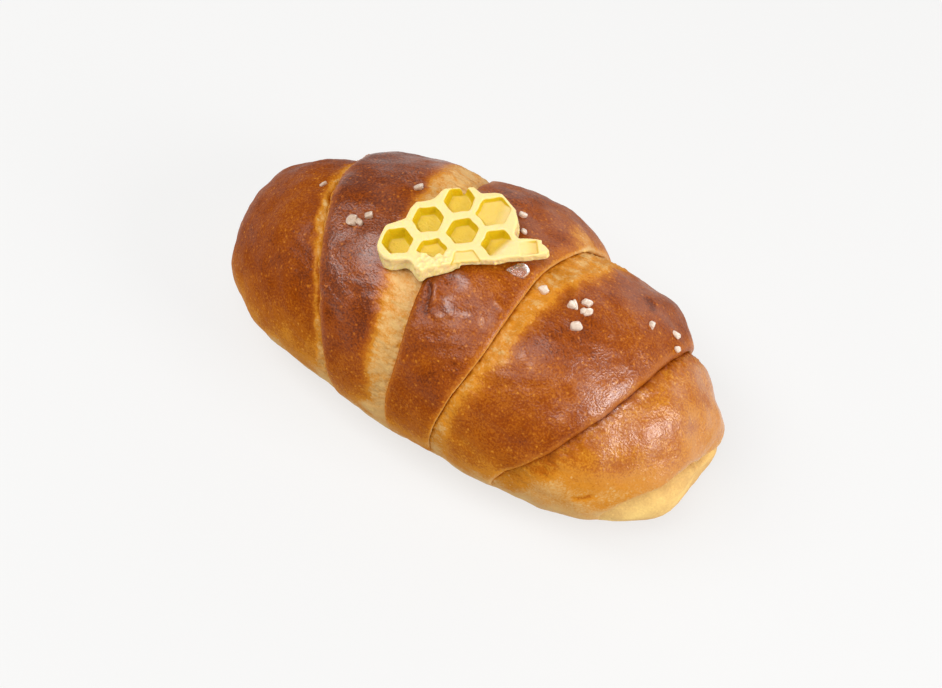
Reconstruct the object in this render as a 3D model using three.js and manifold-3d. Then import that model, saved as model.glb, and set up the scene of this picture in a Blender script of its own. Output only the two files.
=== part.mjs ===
// A salt bread roll: a long tapered sheet of dough rolled up into overlapping wraps, baked on a flat tray,
// with salt crystals on its crust and a piece of yellow chocolate, moulded as honeycomb, lying on its ridge.
// Millimetres, +Z up, the roll's length along X, its front towards -Y, its base flat at z = 0.
import * as THREE from "three";
import { mergeVertices } from "three/addons/utils/BufferGeometryUtils.js";
import Module from "manifold-3d";

// ---- driving dimensions: the loaf ----
const LENGTH = 130;
const WIDTH = 69;
const HEIGHT = 51.5;
const WIDEST_AT = 20.5; // height at which the loaf is widest
const TIP_HEIGHTS = [13, 11]; // heights of the blunt left and right tips
const BELOW_TRAY = 6; // how far the full oval would reach below the tray that flattens it
const FULLNESS = 0.378; // power of the lengthwise taper: smaller is blunter
const BASE_ROUNDING = 1.5;
const MEAN_RADIUS = 30; // cross-section radius used to measure distances along the crust
const BOX_CENTRE = [-0.35, 1.4]; // where the middle of the uneven loaf lies, before it is centred

// ---- driving dimensions: the seams between wraps ----
// path: [angle round the loaf, distance along the crust from the left tip]; 0 is the ridge, + is the front.
// under: the side (-1 left, 1 right) on which the lower wrap lies.
// depth and lip: at the back, ridge and front. rise: how far the lower wrap takes to climb out of the seam.
const SEAMS = [
  {
    name: "left end",
    path: [[-180, 27], [-90, 14], [-45, 8], [0, 5], [45, 5.5], [90, 10.5], [135, 19], [180, 27]],
    under: -1,
    depth: [2.2, 2.2, 2.2],
    lip: [2, 2, 2],
    rise: 8,
  },
  {
    name: "torn seam",
    path: [[-180, 50], [-135, 43], [-90, 38.5], [-20, 38], [11, 43], [30, 48.2], [51, 54.6], [85, 60],
      [135, 60], [180, 50]],
    under: -1,
    depth: [3, 2.2, 1.5],
    lip: [3, 3, 1.8],
    rise: 15,
  },
  {
    name: "left of the top wrap",
    path: [[-180, 74], [-135, 67], [-90, 66], [-40, 69], [25, 75.8], [53, 78.2], [90, 77.9], [135, 78],
      [180, 74]],
    under: -1,
    depth: [1.8, 2.4, 1.6],
    lip: [3.5, 2.2, 1.6],
    rise: 12,
  },
  {
    name: "right of the top wrap",
    path: [[-180, 98], [-135, 100], [-90, 99], [-40, 97.2], [-9, 95.8], [25, 95.9], [90, 90.6], [135, 91],
      [180, 98]],
    under: 1,
    depth: [3.2, 2.4, 1.5],
    lip: [5, 2.4, 1.8],
    rise: 13,
  },
  {
    name: "deep right seam",
    path: [[-180, 119], [-135, 126.5], [-90, 127.8], [-35, 129.8], [0, 128.6], [30, 125.5], [58, 119.2],
      [90, 108.8], [135, 108], [180, 119]],
    under: 1,
    depth: [3.2, 3.2, 2.2],
    lip: [3.4, 2.4, 2],
    rise: 12,
  },
  {
    name: "right end",
    path: [[-180, 131], [-135, 142], [-90, 152.2], [-45, 153.8], [0, 152.6], [27, 149.6], [55, 145.2],
      [89, 136], [135, 130], [180, 131]],
    under: 1,
    depth: [5, 5.8, 3],
    lip: [2.6, 2.6, 2.2],
    rise: 9,
  },
];
const TUCK = [80, 130]; // how far round, in degrees, a lip rolls: at the base and where a seam is open
const SEAM_FADE = [80, 122]; // the seams die out between these angles, towards the base
const BACK_EASE = [0, 60]; // angles over which a seam's values pass from the ridge's to the back's
const FRONT_EASE = [0, 70];
const LIP_SHARE = 0.35; // most of a wrap's width that a lip may take
const RISE_SHARE = 0.75; // most of a wrap's width over which it climbs out of a seam
const TIP_FLAT = 1.2; // how far the right tip is pressed in

// How far the loaf swells past its smooth oval, [distance along the crust, at the back, at the front].
const SWELL = [
  [0, 0, 0],
  [5, 0.5, 0],
  [12, 1.1, -0.3],
  [18, -1.1, 0],
  [24, -2.6, -0.4],
  [32, -2.2, -0.4],
  [42, -0.5, -0.6],
  [54, -0.5, -1.2],
  [66, -0.6, -1.4],
  [76, 1, -1.6],
  [84, 1, -1.6],
  [100, -0.7, -0.7],
  [112, -1, 0.2],
  [120, 0.9, 0.5],
  [128, -0.4, 0.2],
  [134, 0.3, -0.5],
  [141, -0.5, -0.6],
  [147, 0.9, 0.4],
  [152, -0.5, 0.6],
  [158.3, 0, 0],
];
const SWELL_BACK = [0, 60]; // angles over which the swell begins
const SWELL_FRONT = [10, 90];
const SWELL_END = [130, 170]; // angles over which it dies out under the loaf
// Gentle unevenness of the dough: [height, length in mm per radian, turns round the loaf, phase].
const LUMPS = [
  [0.28, 9.1, 2, 1.1],
  [0.22, 5.3, -3, 0.4],
  [0.16, 3.7, 5, 2.3],
];
const LUMPS_END = [120, 160];

// ---- mesh resolution ----
const AROUND = 64;
const LIP_STEPS = 3;
const WRAP_STEPS = [4, 8, 7, 6, 8, 6, 5];
const CLEAR_STEPS = 48;
const CROWDING = 1.5; // power that crowds a wrap's steps towards a seam it climbs out of

// ---- salt crystals: [distance along the crust, angle, length, width, turn of the length in degrees] ----
const CRYSTALS = [
  [35.8, 0, 2.1, 1.1, 65],
  [51.9, 14.7, 3, 2.4, 115],
  [53.8, 13.6, 2.5, 1.4, -10],
  [54.6, 10, 2.2, 2, 40],
  [59.3, -13.6, 2.9, 1.9, 60],
  [82.9, -27.2, 2.1, 1.8, 20],
  [86.8, -18.8, 1.7, 1.4, 35],
  [99, -1.7, 2.7, 2.1, -15],
  [106.4, -1.2, 2.2, 2, 10],
  [107.6, -2.1, 3.1, 1.3, 130],
  [108.8, -6.5, 2.5, 2.1, 0],
  [109.2, -2.1, 1.8, 1.5, 30],
  [110.2, -2.9, 2.4, 2, 45],
  [110.3, 5.5, 2.8, 2.4, 35],
  [121.5, -23, 2.3, 1.6, 110],
  [127, -34, 2.4, 1.4, 0],
  [129.3, -29.3, 1.7, 1.5, 35],
];
const CRYSTAL_SUNK = 0.3; // share of a crystal's height that is under the crust
const CRYSTAL_HEIGHT = 0.85; // of its width
const CRYSTAL_UNEVEN = 0.16;
const CRYSTAL_SEED = 7;

// ---- driving dimensions: the honeycomb chocolate ----
const CELL_PITCH = 8.6; // between the middles of neighbouring cells
const CELL_MOUTH = 6.5; // across the flats at the top of a pocket
const CELL_FLOOR = 4.9; // across the flats at its floor
const PLATE_MIDDLE = [-2.1, 0, 55.1]; // middle cell, on the upper face
const PLATE_SLOPE = [-0.035, -0.1]; // the upper face falls towards the left and the front
const PLATE_TURN = 40.3; // degrees from the loaf's length to a cell's corner
const PLATE_THICKNESS = 5.4;
const SHELF_THICKNESS = 2.4;
const CLEARANCE = 0.35; // between the chocolate and the crust
// Cells as [column, row, depth of the pocket]; columns are offset by half a row in turn.
const CELLS = [
  [-2, 0, 3.2],
  [-1, 0.5, 2.5],
  [-1, -0.5, 1.6],
  [0, 0, 2.3],
  [0, 1, 2.5],
  [1, 0.5, 1.3],
  [1, -0.5, 2.9],
];
const SMALL_CELLS = [
  { middle: [0.2, -6.7], mouth: 3.2, depth: 0.9 },
  { middle: [14.3, -7.1], mouth: 3.4, depth: 1 },
];
const SMALL_FLOOR = 0.8; // of a small pocket's mouth
// Outlines in the plane of the upper face: the main piece, and the thin shelf along its broken front edge.
const PLATE_OUTLINE = [
  [-19.8, -1.6], [-19.1, 0.7], [-17.2, 4.3], [-14.2, 4.9], [-12.6, 5.5], [-11, 8.6], [-9.8, 9.5], [-5.8, 9.7],
  [-3.4, 12.2], [-1.7, 12.4], [1.3, 10], [2.8, 11.4], [3.7, 11.7], [5.2, 9.7], [8.8, 9.3], [10.1, 8.7],
  [12.4, 4.3], [12.8, 0.9], [11.5, -2.3], [11.2, -6], [8.6, -7.6], [5.4, -8], [3.4, -5.5], [-1.6, -5.4],
  [-2.7, -8.4], [-8.5, -9.3], [-10.4, -10], [-12, -8.2], [-12.6, -6.5], [-17, -6.1], [-19, -4.4],
];
const SHELF_OUTLINE = [
  [-2.6, -4], [-2, -8], [2.4, -8.2], [6.9, -8.9], [9.8, -8.5], [12.5, -8.8], [16.4, -9.2], [18.6, -8.9],
  [18.9, -7.5], [17.7, -5.4], [15.6, -4.3], [12.4, -3.7], [9.5, -3],
];

// ---- seeded random numbers ----
function randomFrom(seed) {
  let state = seed;
  return () => {
    state = (Math.imul(state, 1664525) + 1013904223) >>> 0;
    return state / 4294967296;
  };
}

// ---- curves ----
const clamp = THREE.MathUtils.clamp;
const smoothstep = THREE.MathUtils.smoothstep;

// Slope of a polyline at each of its points, from its neighbours, weighted for uneven spacing.
function slopes(at, value) {
  const last = at.length - 1;
  return at.map((_, i) => {
    if (i === 0) return (value[1] - value[0]) / (at[1] - at[0]);
    if (i === last) return (value[last] - value[last - 1]) / (at[last] - at[last - 1]);
    const before = at[i] - at[i - 1];
    const after = at[i + 1] - at[i];
    const rise = (before / after) * (value[i + 1] - value[i]) + (after / before) * (value[i] - value[i - 1]);
    return rise / (before + after);
  });
}

// Smooth curve through points, as a function of one variable.
function curveThrough(at, value) {
  const m = slopes(at, value);
  return (t) => {
    const after = at.findIndex((a) => a > t);
    const i = clamp(after < 0 ? at.length - 2 : after - 1, 0, at.length - 2);
    const h = at[i + 1] - at[i];
    const q = (t - at[i]) / h;
    return (
      (2 * q ** 3 - 3 * q ** 2 + 1) * value[i] +
      (q ** 3 - 2 * q ** 2 + q) * h * m[i] +
      (3 * q ** 2 - 2 * q ** 3) * value[i + 1] +
      (q ** 3 - q ** 2) * h * m[i + 1]
    );
  };
}

// ---- the smooth oval loaf ----
// Along the crust from tip to tip: place along X and share of the full cross-section.
function makeMeridian(steps = 600) {
  const rows = [{ arc: 0, x: -LENGTH / 2, size: 0 }];
  for (let i = 1; i <= steps; i++) {
    const turn = (Math.PI * i) / steps;
    const x = (-LENGTH / 2) * Math.cos(turn);
    const size = i === steps ? 0 : Math.sin(turn) ** (2 * FULLNESS);
    const last = rows[i - 1];
    rows.push({ arc: last.arc + Math.hypot(x - last.x, MEAN_RADIUS * (size - last.size)), x, size });
  }
  return rows;
}
const MERIDIAN = makeMeridian();
const CRUST_LENGTH = MERIDIAN[MERIDIAN.length - 1].arc;

function alongCrust(arc) {
  const s = clamp(arc, 0, CRUST_LENGTH);
  const i = Math.max(1, MERIDIAN.findIndex((row) => row.arc >= s));
  const [a, b] = [MERIDIAN[i - 1], MERIDIAN[i]];
  const q = (s - a.arc) / (b.arc - a.arc);
  return { x: a.x + q * (b.x - a.x), size: a.size + q * (b.size - a.size) };
}

// Point and outward normal of the oval at a distance along the crust and an angle round it, in degrees.
function oval(arc, angle) {
  const { x, size } = alongCrust(arc);
  const across = Math.sin(THREE.MathUtils.degToRad(angle));
  const upward = Math.cos(THREE.MathUtils.degToRad(angle));
  const tip = TIP_HEIGHTS[x < 0 ? 0 : 1];
  const middle = WIDEST_AT + (tip - WIDEST_AT) * Math.abs((2 * x) / LENGTH) ** 3;
  const reach = upward > 0 ? HEIGHT - WIDEST_AT : WIDEST_AT + BELOW_TRAY;
  const point = new THREE.Vector3(x, (-WIDTH / 2) * size * across, middle + reach * size * upward);
  const normal = new THREE.Vector3(
    (2 * x) / LENGTH / (LENGTH / 2),
    (-size * across) / (WIDTH / 2),
    (size * upward) / reach,
  );
  return { point, normal: normal.normalize() };
}

// The tray flattens the base, with a small rounding where the crust leaves it.
function flattened(z) {
  if (z > BASE_ROUNDING) return z;
  if (z < -BASE_ROUNDING) return 0;
  return (z + BASE_ROUNDING) ** 2 / (4 * BASE_ROUNDING);
}

// ---- swell and lumps ----
const swellBack = curveThrough(SWELL.map((s) => s[0]), SWELL.map((s) => s[1]));
const swellFront = curveThrough(SWELL.map((s) => s[0]), SWELL.map((s) => s[2]));

function unevenness(arc, angle) {
  const back = smoothstep(-angle, ...SWELL_BACK) * (1 - smoothstep(-angle, ...SWELL_END));
  const front = smoothstep(angle, ...SWELL_FRONT) * (1 - smoothstep(angle, ...SWELL_END));
  const turn = THREE.MathUtils.degToRad(angle);
  const lumps = LUMPS.reduce((sum, [high, long, turns, phase]) => {
    return sum + high * Math.sin(arc / long + turns * turn + phase);
  }, 0);
  const upper = 1 - smoothstep(Math.abs(angle), ...LUMPS_END);
  return swellBack(arc) * back + swellFront(arc) * front + lumps * alongCrust(arc).size * upper;
}

// ---- seams ----
const seams = SEAMS.map((seam) => ({
  ...seam,
  at: curveThrough(seam.path.map((p) => p[0]), seam.path.map((p) => p[1])),
}));

// A value given at the back, ridge and front, at any angle.
function round([back, ridge, front], angle) {
  if (angle < 0) return ridge + (back - ridge) * smoothstep(-angle, ...BACK_EASE);
  return ridge + (front - ridge) * smoothstep(angle, ...FRONT_EASE);
}

// How the lower wrap climbs out of a seam: steep at first, then level, from 0 to 1.
function climb(q) {
  const t = clamp(q, 0, 1);
  return 0.5 * t * t * (3 - 2 * t) + 0.5 * t * (2 - t);
}

// One line of the crust at an angle: from tip to tip, [distance along the crust, depth below the oval].
// Each seam is a lip of the upper wrap that rolls over and tucks back under, above the sunken lower wrap.
function crustLine(angle) {
  const fade = 1 - smoothstep(Math.abs(angle), ...SEAM_FADE);
  const here = seams.map((seam) => ({
    under: seam.under,
    rise: seam.rise,
    at: seam.at(angle),
    depth: round(seam.depth, angle) * fade,
    lip: round(seam.lip, angle),
    tuck: THREE.MathUtils.degToRad(TUCK[0] + (TUCK[1] - TUCK[0]) * fade),
  }));
  const line = [];
  const lipPoint = (seam, lip, share) => {
    const roll = share * seam.tuck;
    const inward = lip * (1 - Math.sin(roll) / Math.sin(seam.tuck));
    const sunk = (seam.depth * (1 - Math.cos(roll))) / (1 - Math.cos(seam.tuck));
    return [seam.at - seam.under * inward, sunk];
  };
  for (let wrap = 0; wrap <= here.length; wrap++) {
    const left = here[wrap - 1];
    const right = here[wrap];
    const start = left ? left.at : 0;
    const end = right ? right.at : CRUST_LENGTH;
    const room = end - start;
    const leftLip = left && left.under < 0 ? Math.min(left.lip, LIP_SHARE * room) : 0;
    const rightLip = right && right.under > 0 ? Math.min(right.lip, LIP_SHARE * room) : 0;
    for (let i = LIP_STEPS; leftLip && i > 0; i--) line.push(lipPoint(left, leftLip, i / LIP_STEPS));
    const steps = WRAP_STEPS[wrap];
    const closed = right ? 0 : 1; // the last wrap also holds the right tip
    for (let i = 0; i < steps + closed; i++) {
      const even = i / steps;
      let share = even;
      if (left && !leftLip) share = even ** CROWDING;
      else if (right && !rightLip) share = 1 - (1 - even) ** CROWDING;
      const arc = start + leftLip + share * (room - leftLip - rightLip);
      let sunk = 0;
      const climbed = (seam, distance) => climb(distance / Math.min(seam.rise, RISE_SHARE * room));
      if (left && !leftLip) sunk += left.depth * (1 - climbed(left, arc - start));
      if (right && !rightLip) sunk += right.depth * (1 - climbed(right, end - arc));
      if (!right) sunk += TIP_FLAT * smoothstep((arc - start) / room, 0.3, 1);
      line.push([arc, sunk]);
    }
    for (let i = 0; rightLip && i < LIP_STEPS; i++) line.push(lipPoint(right, rightLip, i / LIP_STEPS));
  }
  return line;
}

function crustPoint(arc, angle, outward) {
  const { point, normal } = oval(arc, angle);
  point.addScaledVector(normal, unevenness(arc, angle) + outward);
  point.z = flattened(point.z);
  return point;
}

// The same without seams, moved outward by the clearance, for what lies on the crust.
function clearLine() {
  return Array.from({ length: CLEAR_STEPS + 1 }, (_, i) => [(CRUST_LENGTH * i) / CLEAR_STEPS, -CLEARANCE]);
}

// Lines all round the loaf, joined into one closed surface.
function closedGeometry(lineAt) {
  const rings = [];
  for (let i = 0; i < AROUND; i++) {
    const angle = -180 + (360 * i) / AROUND;
    rings.push(lineAt(angle).map(([arc, sunk]) => crustPoint(arc, angle, -sunk)));
  }
  const last = rings[0].length - 1;
  const points = [rings[0][0], rings[0][last]];
  for (const ring of rings) points.push(...ring.slice(1, last));
  const at = (ring, column) => 2 + (ring % AROUND) * (last - 1) + column - 1;
  const index = [];
  for (let i = 0; i < AROUND; i++) {
    index.push(0, at(i + 1, 1), at(i, 1));
    index.push(1, at(i, last - 1), at(i + 1, last - 1));
    for (let j = 1; j < last - 1; j++) {
      index.push(at(i, j), at(i + 1, j + 1), at(i, j + 1));
      index.push(at(i, j), at(i + 1, j), at(i + 1, j + 1));
    }
  }
  const geometry = new THREE.BufferGeometry().setFromPoints(points);
  geometry.setIndex(index);
  return geometry;
}

// ---- solids ----
const wasm = await Module();
wasm.setup();

function solidOf(geometry) {
  const plain = geometry.clone();
  plain.deleteAttribute("normal");
  plain.deleteAttribute("uv");
  const merged = mergeVertices(plain, 1e-4);
  return new wasm.Manifold(
    new wasm.Mesh({
      numProp: 3,
      vertProperties: new Float32Array(merged.attributes.position.array),
      triVerts: new Uint32Array(merged.index.array),
    }),
  );
}

function geometryOf(solid) {
  const { vertProperties, triVerts } = solid.getMesh();
  const geometry = new THREE.BufferGeometry();
  geometry.setAttribute("position", new THREE.BufferAttribute(vertProperties, 3));
  geometry.setIndex(new THREE.BufferAttribute(triVerts, 1));
  geometry.computeVertexNormals();
  return geometry;
}

// ---- salt crystals ----
// An uneven rounded grain, longest along its own X, turned about the crust's normal and partly sunk in it.
function crystalGeometry([arc, angle, long, wide, turn], random) {
  const ball = new THREE.IcosahedronGeometry(0.5, 0).deleteAttribute("normal").deleteAttribute("uv");
  const grain = mergeVertices(ball);
  const corners = grain.attributes.position;
  for (let i = 0; i < corners.count; i++) {
    const uneven = 1 + CRYSTAL_UNEVEN * (2 * random() - 1);
    corners.setXYZ(i, corners.getX(i) * uneven, corners.getY(i) * uneven, corners.getZ(i) * uneven);
  }
  const high = CRYSTAL_HEIGHT * wide;
  grain.scale(long, wide, high);
  grain.rotateZ(THREE.MathUtils.degToRad(turn));
  const { normal } = oval(arc, angle);
  const upright = new THREE.Quaternion().setFromUnitVectors(new THREE.Vector3(0, 0, 1), normal);
  grain.applyQuaternion(upright);
  const seat = crustPoint(arc, angle, high * (0.5 - CRYSTAL_SUNK) - sunkAt(arc, angle));
  return grain.translate(seat.x, seat.y, seat.z);
}

// Depth of the crust below the oval at one spot, read off its line.
function sunkAt(arc, angle) {
  const line = crustLine(angle);
  const i = line.findIndex((row) => row[0] > arc);
  const [a, b] = [line[i - 1], line[i]];
  return a[1] + ((arc - a[0]) / (b[0] - a[0])) * (b[1] - a[1]);
}

function breadGeometry() {
  const random = randomFrom(CRYSTAL_SEED);
  let bread = solidOf(closedGeometry(crustLine));
  for (const crystal of CRYSTALS) bread = bread.add(solidOf(crystalGeometry(crystal, random)));
  return geometryOf(bread);
}

// ---- honeycomb chocolate ----
function cellMiddle([column, row]) {
  return [column * CELL_PITCH * Math.sin(Math.PI / 3), row * CELL_PITCH];
}

// A tapered six-sided plug with corners along X, from above the upper face down to a pocket's floor.
function pocketGeometry([x, y], mouth, floor, depth) {
  const above = 1;
  const flare = (mouth - floor) / depth;
  const cornerRadius = (flats) => flats / Math.sqrt(3);
  const pocket = new THREE.CylinderGeometry(
    cornerRadius(mouth + flare * above),
    cornerRadius(floor),
    depth + above,
    6,
  );
  pocket.rotateX(Math.PI / 2);
  pocket.rotateZ(Math.PI / 2);
  return pocket.translate(x, y, (above - depth) / 2);
}

// A flat piece with the given outline, hanging below the upper face.
function slabGeometry(outline, thickness) {
  const shape = new THREE.Shape(outline.map(([x, y]) => new THREE.Vector2(x, y)));
  const slab = new THREE.ExtrudeGeometry(shape, { depth: thickness, bevelEnabled: false });
  return slab.translate(0, 0, -thickness);
}

function platePlacement() {
  const normal = new THREE.Vector3(PLATE_SLOPE[0], PLATE_SLOPE[1], 1).normalize();
  const turn = THREE.MathUtils.degToRad(PLATE_TURN);
  const along = new THREE.Vector3(Math.cos(turn), Math.sin(turn), 0);
  along.addScaledVector(normal, -along.dot(normal)).normalize();
  const across = new THREE.Vector3().crossVectors(normal, along);
  return new THREE.Matrix4().makeBasis(along, across, normal).setPosition(...PLATE_MIDDLE);
}

// Built where it lies, so that its underside can follow the crust.
function chocolateGeometry() {
  let plate = solidOf(slabGeometry(PLATE_OUTLINE, PLATE_THICKNESS));
  plate = plate.add(solidOf(slabGeometry(SHELF_OUTLINE, SHELF_THICKNESS)));
  for (const [column, row, depth] of CELLS) {
    const middle = cellMiddle([column, row]);
    plate = plate.subtract(solidOf(pocketGeometry(middle, CELL_MOUTH, CELL_FLOOR, depth)));
  }
  for (const { middle, mouth, depth } of SMALL_CELLS) {
    plate = plate.subtract(solidOf(pocketGeometry(middle, mouth, SMALL_FLOOR * mouth, depth)));
  }
  const placed = geometryOf(plate).applyMatrix4(platePlacement());
  return geometryOf(solidOf(placed).subtract(solidOf(closedGeometry(clearLine))));
}

// ---- the object ----
function named(name, geometry, material) {
  const mesh = new THREE.Mesh(geometry, material);
  mesh.name = name;
  return mesh;
}

const crust = new THREE.MeshStandardMaterial({ color: 0x97501f, roughness: 0.45, metalness: 0 });
const chocolate = new THREE.MeshStandardMaterial({ color: 0xf6e163, roughness: 0.5, metalness: 0 });

const roll = new THREE.Group();
roll.name = "salt bread roll";
roll.add(named("bread", breadGeometry(), crust));
roll.add(named("honeycomb_chocolate", chocolateGeometry(), chocolate));
roll.children.forEach((mesh) => mesh.position.set(-BOX_CENTRE[0], -BOX_CENTRE[1], 0));

export default roll;
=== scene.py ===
"""A salt bread roll with a piece of honeycomb-shaped chocolate on its ridge.

The crust, the salt, the chocolate and a drop of syrup are surfaces worked out with numpy, in millimetres,
and put into meshes in metres. The crust repeats the named sizes of the solid bread and adds fine relief.
"""

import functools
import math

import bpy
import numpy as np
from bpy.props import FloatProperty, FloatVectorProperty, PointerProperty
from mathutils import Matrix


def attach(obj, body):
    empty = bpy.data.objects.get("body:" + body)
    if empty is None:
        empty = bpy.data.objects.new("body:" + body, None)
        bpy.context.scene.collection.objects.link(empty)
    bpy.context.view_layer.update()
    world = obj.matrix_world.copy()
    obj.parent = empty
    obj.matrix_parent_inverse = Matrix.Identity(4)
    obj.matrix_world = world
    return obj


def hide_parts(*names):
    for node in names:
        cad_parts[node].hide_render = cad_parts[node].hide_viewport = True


bl_info = {
    "name": "Salt Bread Roll",
    "version": (1, 0, 0),
    "blender": (4, 5, 0),
    "location": "View3D > Sidebar > Roll",
    "description": "Builds a glazed bread roll with salt crystals and a honeycomb chocolate",
    "category": "Add Mesh",
}

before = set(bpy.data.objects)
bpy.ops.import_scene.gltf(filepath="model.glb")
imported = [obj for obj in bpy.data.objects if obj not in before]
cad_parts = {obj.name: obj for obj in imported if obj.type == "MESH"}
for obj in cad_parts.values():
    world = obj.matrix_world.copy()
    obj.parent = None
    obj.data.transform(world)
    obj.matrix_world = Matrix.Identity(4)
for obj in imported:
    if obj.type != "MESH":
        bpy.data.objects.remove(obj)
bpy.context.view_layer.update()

MM = 0.001

# ---- the smooth oval loaf, in millimetres ----
LENGTH = 130.0
WIDTH = 69.0
HEIGHT = 51.5
WIDEST_AT = 20.5
TIP_HEIGHTS = (13.0, 11.0)
BELOW_TRAY = 6.0
FULLNESS = 0.378
BASE_ROUNDING = 1.5
MEAN_RADIUS = 30.0
BOX_CENTRE = np.array([-0.35, 1.4, 0.0])

# ---- seams ----
# under: the side of the lower wrap, -1 left and 1 right.
# depth, lip: the step and the rolled lip's width at the back, ridge and front.
# path, band: distance along the crust, and the pale band's width, each with its angle round the loaf.
# rise: the way over which the lower wrap climbs out. pale_from: the lip's roll from which its dough is pale.
# The seam's shade value is how dark the painted shade is in the crease just below its lip.
SEAMS = [
    # left end
    dict(under=-1, depth=(2.2, 2.2, 2.2), lip=(2.0, 2.0, 2.0), rise=8.0, wander=0.3,
         path=[(-180, 27), (-90, 14), (-45, 8), (0, 5), (45, 5.5), (90, 10.5), (135, 19), (180, 27)],
         band=[(-180, 30), (180, 30)], blend=1, tone=0.3, wrinkle=0.3, painted_shade=0.2, pale_from=70),
    # torn seam
    dict(under=-1, depth=(3.0, 2.2, 1.5), lip=(3.0, 3.0, 1.8), rise=15.0, wander=0.45,
         path=[(-180, 50), (-135, 43), (-90, 38.5), (-20, 38), (11, 43), (30, 48.2), (51, 54.6), (85, 60),
               (135, 60), (180, 50)],
         band=[(-180, 3), (-40, 2.6), (10, 3.0), (30, 2.8), (54, 1.8), (67, 1.8), (82, 3), (180, 4)],
         blend=2.2, tone=0.32, wrinkle=0.5, painted_shade=0.15, pale_from=45),
    # left of the top wrap
    dict(under=-1, depth=(1.8, 2.4, 1.6), lip=(3.5, 2.2, 1.6), rise=12.0, wander=0.2,
         path=[(-180, 74), (-135, 67), (-90, 66), (-40, 69), (25, 75.8), (53, 78.2), (90, 77.9), (135, 78),
               (180, 74)],
         band=[(-180, 6), (-35, 9.5), (27, 7.6), (46, 6.2), (63, 5.6), (80, 4.6), (180, 5)],
         blend=4.8, tone=0.25, wrinkle=0.8, painted_shade=0.2, pale_from=80),
    # right of the top wrap
    dict(under=1, depth=(3.2, 2.4, 1.5), lip=(5.0, 2.4, 1.8), rise=13.0, wander=0.25,
         path=[(-180, 98), (-135, 100), (-90, 99), (-40, 97.2), (-9, 95.8), (25, 95.9), (90, 90.6), (135, 91),
               (180, 98)],
         band=[(-180, 6), (-45, 7.6), (-20, 7.6), (0, 5.6), (16, 4.2), (30, 3.4), (42, 2.8), (60, 2.2),
               (80, 2), (180, 4)],
         blend=5.0, tone=0.33, wrinkle=0.9, painted_shade=0.35, pale_from=50),
    # deep right seam
    dict(under=1, depth=(3.2, 3.2, 2.2), lip=(3.4, 2.4, 2.0), rise=12.0, wander=0.25,
         path=[(-180, 119), (-135, 126.5), (-90, 127.8), (-35, 129.8), (0, 128.6), (30, 125.5), (58, 119.2),
               (90, 108.8), (135, 108), (180, 119)],
         band=[(-180, 4), (-38, 2.4), (8, 2.2), (30, 2.2), (47, 2.6), (59, 4.0), (70, 4.4), (90, 5),
               (180, 5)],
         blend=4.2, tone=0.56, wrinkle=0.9, painted_shade=0.8, pale_from=75),
    # right end
    dict(under=1, depth=(5.0, 5.8, 3.0), lip=(2.6, 2.6, 2.2), rise=9.0, wander=0.3,
         path=[(-180, 131), (-135, 142), (-90, 152.2), (-45, 153.8), (0, 152.6), (27, 149.6), (55, 145.2),
               (89, 136), (135, 130), (180, 131)],
         band=[(-180, 40), (180, 40)], blend=1, tone=0.14, wrinkle=0.15, painted_shade=0.2, pale_from=30),
]
TORN_SEAM = 1
GOLDEN_EDGE_SEAM = 2
STRETCH = np.array([0.5, 1.0, 1.0])
FLAKE_STRETCH = np.array([1.0, 0.3, 0.3])
WRINKLE_LIFT = 0.12
FLAKES_SUNK = 0.2
BAND_EDGE_RAISED = 0.22
EDGE_WIDTH = 0.9
BAND_INSIDE = 0.8
# Of a lip's roll, in degrees: where its rim is, how wide, and the turn over which its dough grows pale.
RIM_ROLL = 48
RIM_SPREAD = 22
PALE_ROLL = 35
TUCK = (80.0, 130.0)
SEAM_FADE = (80.0, 122.0)
TIP_FLAT = 1.2
# How dark and how glossy the seven wraps are, from the left end to the cap at the right end.
WRAP_TONES = (0.3, 0.82, 0.87, 0.79, 0.77, 0.5, 0.16)
WRAP_SIDE_FADES = (0.1, 0.28, 0.24, 0.08, 0.22, 0.16, 0.0)
WRAP_GLOSS = (0.2, 0.2, 0.7, 0.4, 0.42, 1.0, 0.15)
FAR = 99.0
LIP_SHARE = 0.35
RISE_SHARE = 0.75
CROWDING = 1.5

# ---- where the crust changes: angles from the ridge, then heights above the tray ----
SWELL_BACK = (0, 60)
SWELL_FRONT = (10, 90)
SWELL_ENDS = (130, 170)
LUMPS_END = (120, 160)
WANDER_ENDS = (110, 150)
EASE_BACK = (0, 60)
EASE_FRONT = (0, 70)
PALER_FRONT = (45, 105)
PALER_BACK = (55, 115)
DULLER_FRONT = (35, 80)
DULLER_BACK = (60, 120)
PALE_SOFTLY = (18.0, 32.0)
PALE_FULLY = (8.0, 22.0)
TRAY_BROWN = (0.5, 3.0)
CAP_BROWN = (2.0, 11.0)
RELIEF_FROM = (1.0, 8.0)
# Distances from the middle.
FAR_ENDS = (36, 54)

# ---- the torn seam's crack ----
CRACK_DEPTH = 1.5
CRACK_WIDTH = 0.5
CRACK_BACK = (-70, -30)
CRACK_FRONT = (50, 90)
CRACK_SHALLOWER = (25, 60)

# ---- tones from 0, pale, to 1, dark, and what is added to them ----
EDGE_TONE = 0.3
UNDER_TONE = 0.28
PALE_TONE = 0.18
# How much paler each lip's rim is: a painted highlight along the rolled edge.
RIM_PAINTED_HIGHLIGHT = 0.16
BAND_PALER = 0.04
# Width of the painted shade along each seam's crease, in mm.
PAINTED_SHADE_WIDTH = 0.9
# How much the torn seam's crack is darkened with painted shade.
CRACK_PAINTED_SHADE = 0.4
CAP_DARKER = 0.2
# The lower sides: the soft fade's share, how much less they pale at the ends, how far they pale.
SOFT_SHARE = 0.4
END_SHARE = 0.65
PALING = 0.9

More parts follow.
